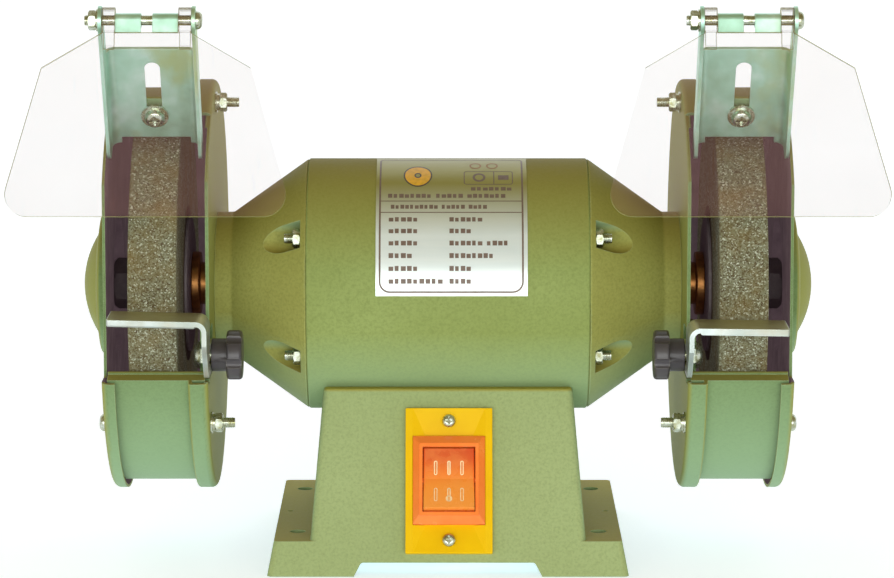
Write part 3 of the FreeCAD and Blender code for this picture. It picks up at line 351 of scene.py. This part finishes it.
def plastic(name, dark, light, roughness, grain=900, coat=0.2, edge_highlight=None, ior=1.45):
    """Moulded plastic: two close colours over a fine leather-like grain, with a painted highlight along the edges
    where an edge colour is given.
    """
    g = Graph(name, Coat_Weight=coat, Coat_Roughness=0.2, IOR=ior)
    colour = g.ramp(g.noise(80, 3), [(0.3, dark), (0.7, light)])
    # Edge colour: painted highlight.
    if edge_highlight:
        colour = g.mix(g.span(g.edges(), 0.0, 0.6, 0.1, 0.9), colour, edge_highlight)
    g.set(Base_Color=colour)
    g.set(Roughness=g.span(g.noise(grain, 2), roughness - 0.06, roughness + 0.06))
    g.bump(g.noise(grain, 2), 0.00004, 0.3, soften=0.0003)
    return g.material


def lens(name, core, edge):
    """Translucent-looking plastic, redder along its edges."""
    g = Graph(name, Coat_Weight=0.3, Coat_Roughness=0.12, IOR=1.45)
    cloud = g.noise(130, 3)
    body = g.ramp(cloud, [(0.3, core[0]), (0.7, core[1])])
    colour = g.mix(g.span(g.edges(), 0.0, 0.85, 0.1, 0.8), body, edge)
    # The faint emission is painted light: a glow.
    g.set(Base_Color=colour, Emission_Color=core[0], Emission_Strength=0.06)
    g.set(Roughness=g.span(cloud, 0.18, 0.32))
    g.bump(g.noise(700, 2), 0.00003, 0.2, soften=0.0004)
    return g.material


def rocker_lens():
    """Lens painted with its light and shade: deep orange near its top edge, paler towards the bottom."""
    low, high = (v.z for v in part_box("switch_rocker"))
    g = Graph("orange_rocker", Coat_Weight=0.2, Coat_Roughness=0.15, IOR=1.4)
    height = g.add("ShaderNodeSeparateXYZ")
    g.link(g.place, height.inputs["Vector"])
    up = g.span(height.outputs["Z"], 0.0, 1.0, low, high)
    cloud = g.noise(150, 3)
    # The stops run from pale at the bottom to deep orange at the top: painted light and shade.
    stops = [(0.0, srgb(244, 154, 66)), (0.45, srgb(242, 146, 56)), (0.62, srgb(236, 126, 46)),
             (0.85, srgb(212, 88, 36)), (1.0, srgb(200, 78, 34))]
    colour = g.mix(g.span(cloud, 0.0, 0.35, 0.4, 0.7), g.ramp(up, stops), srgb(236, 150, 70))
    g.set(Base_Color=colour, Roughness=g.span(cloud, 0.2, 0.34))
    g.bump(g.noise(700, 2), 0.00003, 0.2, soften=0.0004)
    return g.material


def metal(name, dark, light, roughness, metallic=1.0):
    """Plain metal with cloudy colour and gloss."""
    g = Graph(name, Metallic=metallic)
    cloud = g.noise(300, 4, 0.6)
    g.set(Base_Color=g.ramp(cloud, [(0.3, dark), (0.7, light)]))
    g.set(Roughness=g.span(cloud, roughness - 0.08, roughness + 0.1))
    g.bump(g.noise(1200, 2), 0.00003, 0.3, soften=0.0003)
    return g.material


def plate_foil():
    """Brushed silver foil, with painted shade in olive where it faces up."""
    g = Graph("plate_foil", Metallic=0.3, Coat_Weight=0.05, Coat_Roughness=0.14)
    brushed = g.noise(220, 4, 0.6, stretch=(0.06, 1, 1))
    cloud = g.noise(40, 3)
    silver_base = g.ramp(cloud, [(0.3, srgb(208, 220, 224)), (0.7, srgb(218, 228, 230))])
    sides = g.mix(g.span(brushed, 0.0, 0.5, 0.4, 0.7), silver_base, srgb(228, 234, 234))
    # Upward faces turn olive: painted shade.
    g.set(Base_Color=g.mix(g.span(g.facing(0, 0, 1), 0.0, 1.0, 0.5, 0.86), sides, srgb(142, 138, 72)))
    g.set(Roughness=g.span(brushed, 0.26, 0.36))
    g.bump(brushed, 0.00002, 0.15)
    return g.material


def printed(name, colour, roughness):
    """Screen-printed ink or card, slightly uneven."""
    g = Graph(name, Roughness=roughness, IOR=1.45)
    dark = tuple(c * 0.8 for c in colour[:3]) + (1.0,)
    g.set(Base_Color=g.ramp(g.noise(500, 3), [(0.3, dark), (0.6, colour)]))
    return g.material


SCREW = zinc_screw()
MATERIAL_OF_SLOT = {
    "green_paint": hammer_paint("green_enamel", GREEN, top=EAR_TOP_SHADE),
    "zinc_sheet": zinc_sheet("zinc_sheet", (srgb(164, 206, 184), srgb(186, 228, 212), srgb(218, 244, 238)),
                             srgb(184, 200, 138), 0.12),
    "zinc_screws": SCREW,
    "grinding_stone": grinding_stone(),
    "clear_plastic": clear_plastic(),
    # The edge colours of the black and yellow plastic are painted highlights.
    "black_plastic": plastic("black_plastic", srgb(52, 48, 56), srgb(70, 66, 68), 0.42,
                             edge_highlight=srgb(120, 118, 104)),
    "yellow_plastic": plastic("yellow_plastic", srgb(228, 182, 2), srgb(234, 190, 4), 0.5, 700, 0.03,
                              edge_highlight=srgb(240, 196, 24), ior=1.2),
    "orange_plastic": lens("orange_frame", (srgb(242, 122, 44), srgb(245, 134, 54)), srgb(216, 82, 36)),
    "orange_lens": rocker_lens(),
    "rating_plate": plate_foil(),
    "shaft_steel": metal("ground_steel", srgb(168, 168, 166), srgb(196, 196, 194), 0.22),
    "lamination_steel": metal("laminations", srgb(92, 92, 94), srgb(120, 120, 120), 0.45),
    "winding_copper": metal("varnished_copper", srgb(138, 72, 34), srgb(178, 98, 48), 0.35),
    "cast_aluminium": metal("cast_aluminium", srgb(170, 172, 172), srgb(196, 198, 198), 0.45),
    "flange_steel": metal("dark_flange", srgb(136, 124, 130), srgb(156, 144, 146), 0.6, metallic=0.1),
    "coppery_bush": metal("coppery_bush", srgb(150, 100, 58), srgb(190, 134, 78), 0.35),
    "blotter_paper": printed("blotter_card", srgb(104, 90, 74), 0.9),
    "terminal_brass": metal("plated_brass", srgb(186, 160, 96), srgb(214, 190, 128), 0.3),
    "white_plastic": plastic("white_nylon", srgb(214, 212, 204), srgb(228, 226, 220), 0.45),
}
# The rest's upward face is tinted olive: a painted reflection of the guard.
REST_ZINC = zinc_sheet("rest_zinc", (srgb(140, 152, 146), srgb(166, 176, 174), srgb(202, 210, 212)),
                       srgb(160, 152, 130), 0.14, top=srgb(190, 184, 136))
# The shell, end bells, guards and covers take the darker copies of the green enamel: painted shade.
MATERIAL_OF_NODE = {
    "motor_shell": hammer_paint("motor_enamel_shaded", MIDDLE),
    "arbor_nuts": metal("dark_nuts", srgb(96, 82, 88), srgb(112, 98, 102), 0.55, metallic=0.1),
}
BELL_PAINT = hammer_paint("bell_enamel_shaded", OLIVE)
GUARD_PAINT = hammer_paint("guard_enamel_shaded", DEEP, inside_inner_guard, cap=OLIVE[0])
COVER_PAINT = hammer_paint("cover_enamel_shaded", DEEP, inside_cover, cap=OLIVE[0])
for side in SIDES:
    MATERIAL_OF_NODE[side + "_tool_rest"] = REST_ZINC
    MATERIAL_OF_NODE[side + "_end_bell"] = BELL_PAINT
    MATERIAL_OF_NODE[side + "_inner_guard"] = GUARD_PAINT
    MATERIAL_OF_NODE[side + "_guard_cover"] = COVER_PAINT
NODE_SLOT = {s["node"]: s["material_slot"] for s in frame["record"]["subparts"]}


def paint_cad_nodes():
    for name, node in NODES.items():
        for slot in node.material_slots:
            slot.material = MATERIAL_OF_NODE.get(name, MATERIAL_OF_SLOT[NODE_SLOT[name]])


# ---------------------------------------------------------------- mesh helpers
class Mesh:
    """Vertices and faces gathered for one piece, in millimetres until it is made."""

    def __init__(self):
        self.vertices = []
        self.faces = []

    def grid(self, rows, closed=False):
        """Quads between rows of points; closed joins each row's end to its start."""
        start = len(self.vertices)
        width = len(rows[0])
        for row in rows:
            self.vertices.extend(row)
        for i in range(len(rows) - 1):
            for j in range(width if closed else width - 1):
                a = start + i * width + j
                b = start + i * width + (j + 1) % width
                self.faces.append((a, b, b + width, a + width))

    def piece(self, name, material, body, slot, smooth=False):
        mesh = bpy.data.meshes.new(name)
        mesh.from_pydata([(x * MM, y * MM, z * MM) for x, y, z in self.vertices], [], self.faces)
        mesh.update()
        tidy = bmesh.new()
        tidy.from_mesh(mesh)
        bmesh.ops.recalc_face_normals(tidy, faces=tidy.faces)
        tidy.to_mesh(mesh)
        tidy.free()
        if smooth:
            mesh.shade_smooth()
        mesh.materials.append(material)
        piece = bpy.data.objects.new(name, mesh)
        bpy.context.scene.collection.objects.link(piece)
        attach(piece, body)
        return piece


# ---------------------------------------------------------------- print on the rating plate
# x is in millimetres from the plate's middle, and up along its arc from the motor's front.
PLATE_LOW, PLATE_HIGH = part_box("rating_plate")
PLATE_MIDDLE = (PLATE_LOW.x + PLATE_HIGH.x) / 2 / MM
PLATE_FACE_R = 53.8
PRINT_LIFT = 0.05
LINE_STEP = 1.5          # longest straight bit of print along the curve


def on_plate(x, up):
    """Point just above the plate's face."""
    a = up / PLATE_FACE_R
    r = PLATE_FACE_R + PRINT_LIFT
    return (x + PLATE_MIDDLE, -r * math.cos(a), AXIS_Z / MM + r * math.sin(a))


def patch(mesh, x0, x1, low, high):
    """Small printed rectangle."""
    steps = max(1, math.ceil((high - low) / LINE_STEP))
    rows = []
    for i in range(steps + 1):
        up = low + (high - low) * i / steps
        rows.append([on_plate(x0, up), on_plate(x1, up)])
    mesh.grid(rows)


def ribbon(mesh, points, width):
    """Closed printed line of an even width through (x, up) points."""
    outer, inner = [], []
    count = len(points)
    for i, (x, up) in enumerate(points):
        ax, au = points[i - 1]
        bx, bu = points[(i + 1) % count]
        length = math.hypot(bx - ax, bu - au)
        nx, nu = (bu - au) / length * width / 2, -(bx - ax) / length * width / 2
        outer.append(on_plate(x + nx, up + nu))
        inner.append(on_plate(x - nx, up - nu))
    mesh.grid([outer, inner], closed=True)


def rounded_frame(x0, x1, low, high, low_corner, high_corner):
    """Points of a rounded rectangle, close enough together to follow the curve."""
    points = []
    corners = [(x1 - low_corner, low + low_corner, low_corner, -90),
               (x1 - high_corner, high - high_corner, high_corner, 0),
               (x0 + high_corner, high - high_corner, high_corner, 90),
               (x0 + low_corner, low + low_corner, low_corner, 180)]
    for cx, cu, radius, start in corners:
        for i in range(7):
            a = math.radians(start + 15 * i)
            points.append((cx + radius * math.cos(a), cu + radius * math.sin(a)))
    filled = []
    for i, (x, up) in enumerate(points):
        bx, bu = points[(i + 1) % len(points)]
        steps = max(1, math.ceil(math.hypot(bx - x, bu - up) / LINE_STEP))
        for k in range(steps):
            filled.append((x + (bx - x) * k / steps, up + (bu - up) * k / steps))
    return filled


def disc(mesh, x, up, radius, hole, stretch):
    """Printed ring, stretched along the arc."""
    rings = []
    count = max(2, math.ceil((radius - hole) / 0.8))
    for i in range(count + 1):
        r = hole + (radius - hole) * i / count
        row = []
        for k in range(36):
            a = 2 * math.pi * k / 36
            row.append(on_plate(x + r * math.cos(a), up + stretch * r * math.sin(a)))
        rings.append(row)
    mesh.grid(rings, closed=True)


def words(mesh, x, up, height, letter, lengths):
    """Rows of plain blocks, one per letter, that stand for words without spelling any."""
    for i, length in enumerate(lengths):
        for k in range(length):
            tall = height * (1.0, 0.86, 1.0, 0.94)[(k * 3 + i + length) % 4]
            wide = letter * (0.76, 0.62, 0.8)[(k + i) % 3]
            low = up - height / 2
            patch(mesh, x, x + wide, low, low + tall)
            x += letter
        x += letter * 0.6


def plate_piece(mesh, name, ink_name, colour, roughness):
    mesh.piece(name, printed(ink_name, colour, roughness), "housing", "rating_plate")


def plate_print():
    """Border, rules, rows of blocks and three plain symbols, all without words."""
    ink = Mesh()
    ribbon(ink, rounded_frame(-29.8, 29.5, 4.2, 78.5, 4.2, 2.2), 0.75)
    for low, high in ((38.8, 39.25), (44.7, 45.15)):
        patch(ink, -29.5, 29.3, low, high)
    words(ink, -26.5, 47.9, 2.3, 2.33, (8, 5, 7))
    words(ink, -25.3, 41.9, 2.1, 2.0, (10, 5, 4))
    patch(ink, 17.5, 17.9, 55.3, 64.6)
    ribbon(ink, rounded_frame(5.3, 25.5, 55.0, 64.8, 1.2, 1.2), 0.4)
    disc(ink, 11.5, 60.0, 2.7, 1.7, 1.2)
    patch(ink, 19.5, 23.9, 58.2, 61.6)
    words(ink, 8.1, 52.1, 2.2, 2.5, (7,))
    table = [(35.6, (5,), (6,)), (30.2, (5,), (4,)), (24.8, (5,), (6, 4)), (19.4, (4,), (8,)),
             (14.0, (5,), (4,)), (8.7, (9,), (4,))]
    for up, label, value in table:
        words(ink, -26.1, up, 2.1, 2.55, label)
        words(ink, -0.9, up, 2.1, 2.35, value)
    plate_piece(ink, "plate_print", "plate_ink", srgb(112, 94, 84), 0.4)
    rings = Mesh()
    for x in (10.0, 17.0):
        disc(rings, x, 70.4, 2.5, 1.8, 1.25)
    plate_piece(rings, "plate_rings", "plate_bronze_ink", srgb(150, 104, 40), 0.4)
    badge_at = (-14.1, 61.5)
    badge = Mesh()
    disc(badge, *badge_at, 5.4, 1.5, 1.35)
    plate_piece(badge, "plate_badge", "plate_yellow_ink", srgb(222, 168, 28), 0.35)
    outline = Mesh()
    disc(outline, *badge_at, 6.0, 5.4, 1.35)
    disc(outline, *badge_at, 1.5, 0.9, 1.35)
    plate_piece(outline, "plate_badge_outline", "plate_dark_ink", srgb(70, 62, 60), 0.35)


# ---------------------------------------------------------------- marks on the rocker
ROCKER_AXLE = [c / MM for c in JOINTS["rocker_press"]["pos_m"]]
ROCKER_TILT = math.radians(8.0)
CREASE_OUT = 1.9         # from the axle to the crease across the middle of the rocker
MARK_LIFT = 0.05


def on_rocker(u, v):
    """Point on the rocker's V-shaped face, pressed in at its top: u to the right, v up the face."""
    w = CREASE_OUT + abs(v) * math.tan(ROCKER_TILT) + MARK_LIFT
    turned_v = v * math.cos(ROCKER_TILT) + w * math.sin(ROCKER_TILT)
    turned_w = w * math.cos(ROCKER_TILT) - v * math.sin(ROCKER_TILT)
    y = turned_v * math.sin(WALL_LEAN) - turned_w * math.cos(WALL_LEAN)
    z = turned_v * math.cos(WALL_LEAN) + turned_w * math.sin(WALL_LEAN)
    return (ROCKER_AXLE[0] + u, ROCKER_AXLE[1] + y, ROCKER_AXLE[2] + z)


def rocker_slot(mesh, u, v, half_u, half_v, line):
    """Outline of a narrow rounded bar."""
    outer, inner = [], []
    for i in range(32):
        a = 2 * math.pi * i / 32
        side = 1 if math.sin(a) >= 0 else -1
        middle = v + side * (half_v - half_u)
        for row, r in ((outer, half_u), (inner, half_u - line)):
            row.append(on_rocker(u + r * math.cos(a), middle + r * math.sin(a)))
    mesh.grid([outer, inner], closed=True)


def rocker_marks():
    """Two rows of three bars, with a small ring under the middle one."""
    marks = Mesh()
    half_wide, half_tall = 0.72, 3.0
    for u in (-5.5, 0.0, 5.4):
        line = 0.42 if u else 0.55
        rocker_slot(marks, u, 4.6, half_wide, half_tall, line)
        rocker_slot(marks, u, -7.0, half_wide, half_tall, line * 0.8)
    rocker_slot(marks, 0.0, -8.8, 1.35, 1.36, 0.5)
    ink = printed("pale_marks", srgb(252, 222, 176), 0.4)
    marks.piece("rocker_marks", ink, "rocker", "orange_lens")


# ---------------------------------------------------------------- threads on the free ends of bolts
BOLT_R = 2.0
PITCH = 0.7
CREST = 0.21
ROOT = 0.03              # how far the sleeve's root lies inside the bolt
STEPS_PER_TURN = 8
POINTS_AROUND = 20


def thread(mesh, start, direction, length):
    """Rolled thread: a sleeve whose radius rises and falls along a helix."""
    towards = Vector(direction).normalized()
    first = towards.orthogonal().normalized()
    second = towards.cross(first)
    steps = math.ceil(length / PITCH * STEPS_PER_TURN)
    rows = []
    for i in range(steps + 1):
        along = length * i / steps
        fade = min(1.0, (length - along) / PITCH, along / PITCH * 2 + 0.2)
        row = []
        for k in range(POINTS_AROUND):
            a = 2 * math.pi * k / POINTS_AROUND
            phase = (along / PITCH - k / POINTS_AROUND) % 1.0
            r = BOLT_R - ROOT + CREST * (1 - abs(2 * phase - 1)) * fade
            across = first * math.cos(a) + second * math.sin(a)
            row.append(tuple(Vector(start) + towards * along + across * r))
        rows.append(row)
    mesh.grid(rows, closed=True)


def threads_around_arbor(name, x, radius, angles, outwards, length):
    """Threads at the same angles on both sides, which start at x.

    They run away from the motor with outwards 1, and towards it with -1."""
    mesh = Mesh()
    for side in SIDES.values():
        for angle in angles:
            a = math.radians(angle)
            start = (side * x, -radius * math.cos(a), AXIS_Z / MM + radius * math.sin(a))
            thread(mesh, start, (outwards * side, 0, 0), length)
    mesh.piece(name, SCREW, "housing", "zinc_screws", smooth=True)


def threads():
    """Threads on the guard bolts, the motor's tie rods and the shield bolts."""
    threads_around_arbor("guard_bolt_threads", x=93.0, radius=79.5, angles=(-38, 82, 202),
                         outwards=-1, length=4.9)
    threads_around_arbor("tie_rod_threads", x=64.7, radius=46.5, angles=(32, 148, 212, 328),
                         outwards=1, length=3.4)
    length = 1.4
    inset = length + 0.05            # keeps the thread's end behind the bolt's
    for name in SIDES:
        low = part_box(name + "_shield_bolt")[0]
        hinge = JOINTS[name + "_shield_tilt"]["pos_m"]
        ends = Mesh()
        start = (low[0] / MM + inset, hinge[1] / MM, hinge[2] / MM)
        thread(ends, start, (-1, 0, 0), length)
        ends.piece(name + "_shield_bolt_thread", SCREW, name + "_bracket", "zinc_screws", smooth=True)


# ---------------------------------------------------------------- floor, light, camera
CAMERA_DISTANCE = 1.70
CAMERA_ELEVATION = 8.5
CAMERA_LENS = 160.3
CAMERA_SHIFT = (-0.0011186, -0.0067114)


def cyclorama():
    """Floor that curves up into the backdrop."""
    half_width = 6.0
    front_y = -4.0
    wall_y = 3.0
    wall_top = 5.0
    radius = 1.5
    drop = 0.0002            # keeps the floor clear of the base's feet
    steps = 16
    profile = [(front_y, 0.0)]
    for i in range(steps + 1):
        a = math.pi / 2 * i / steps
        profile.append((wall_y - radius + radius * math.sin(a), radius - radius * math.cos(a)))
    profile.append((wall_y, wall_top))
    vertices = [(x, y, z - drop) for y, z in profile for x in (-half_width, half_width)]
    faces = [(2 * i, 2 * i + 1, 2 * i + 3, 2 * i + 2) for i in range(len(profile) - 1)]
    mesh = bpy.data.meshes.new("studio_floor")
    mesh.from_pydata(vertices, [], faces)
    mesh.shade_smooth()
    g = Graph("studio_floor", Roughness=0.85, IOR=1.2)
    g.set(Base_Color=g.ramp(g.noise(3, 2), [(0.3, srgb(236, 236, 236)), (0.7, srgb(240, 240, 240))]))
    g.set(Emission_Color=(0.78, 0.87, 1.0, 1.0), Emission_Strength=0.63)
    mesh.materials.append(g.material)
    floor = bpy.data.objects.new("studio_floor", mesh)
    bpy.context.scene.collection.objects.link(floor)


def area_light(name, place, target, size, watts, colour):
    data = bpy.data.lights.new(name, "AREA")
    data.shape = "RECTANGLE"
    data.size, data.size_y = size
    data.energy = watts
    data.color = colour
    lamp = bpy.data.objects.new(name, data)
    lamp.location = place
    lamp.rotation_euler = (Vector(target) - Vector(place)).to_track_quat("-Z", "Y").to_euler()
    bpy.context.scene.collection.objects.link(lamp)


def lights():
    """Bright low softbox in front, pale surroundings and a dimmer, warmer sky."""
    world = bpy.data.worlds.new("studio_world")
    world.use_nodes = True
    tree = world.node_tree
    direction = tree.nodes.new("ShaderNodeTexCoord")
    split = tree.nodes.new("ShaderNodeSeparateXYZ")
    ramp = tree.nodes.new("ShaderNodeValToRGB")
    ramp.color_ramp.elements[0].position = 0.10
    ramp.color_ramp.elements[0].color = (1.0, 1.0, 1.0, 1)
    ramp.color_ramp.elements[1].position = 0.30
    ramp.color_ramp.elements[1].color = (0.38, 0.31, 0.15, 1)
    tree.links.new(direction.outputs["Generated"], split.inputs["Vector"])
    tree.links.new(split.outputs["Z"], ramp.inputs["Fac"])
    tree.links.new(ramp.outputs["Color"], tree.nodes["Background"].inputs["Color"])
    tree.nodes["Background"].inputs["Strength"].default_value = 1.0
    bpy.context.scene.world = world
    area_light("low_softbox", (0.0, -2.4, 0.34), (0, 0, 0.12), (2.8, 0.8), 37, (0.97, 1.0, 0.97))


def camera():
    """Long lens in front, aimed at the arbor from a little above it."""
    elevation = math.radians(CAMERA_ELEVATION)
    data = bpy.data.cameras.new("camera")
    data.lens = CAMERA_LENS
    data.sensor_width = 36.0
    data.shift_x, data.shift_y = CAMERA_SHIFT
    data.clip_start = 0.05
    cam = bpy.data.objects.new("camera", data)
    back = Vector((0, -math.cos(elevation), math.sin(elevation)))
    cam.location = Vector((0, 0, AXIS_Z)) + back * CAMERA_DISTANCE
    cam.rotation_euler = (-back).to_track_quat("-Z", "Y").to_euler()
    bpy.context.scene.collection.objects.link(cam)
    bpy.context.scene.camera = cam


def view_colours():
    """Plain colours, with nothing graded."""
    settings = bpy.context.scene.view_settings
    settings.view_transform = "Standard"
    settings.look = "None"
    settings.exposure = 0.0


paint_cad_nodes()
plate_print()
rocker_marks()
threads()
cyclorama()
lights()
camera()
view_colours()
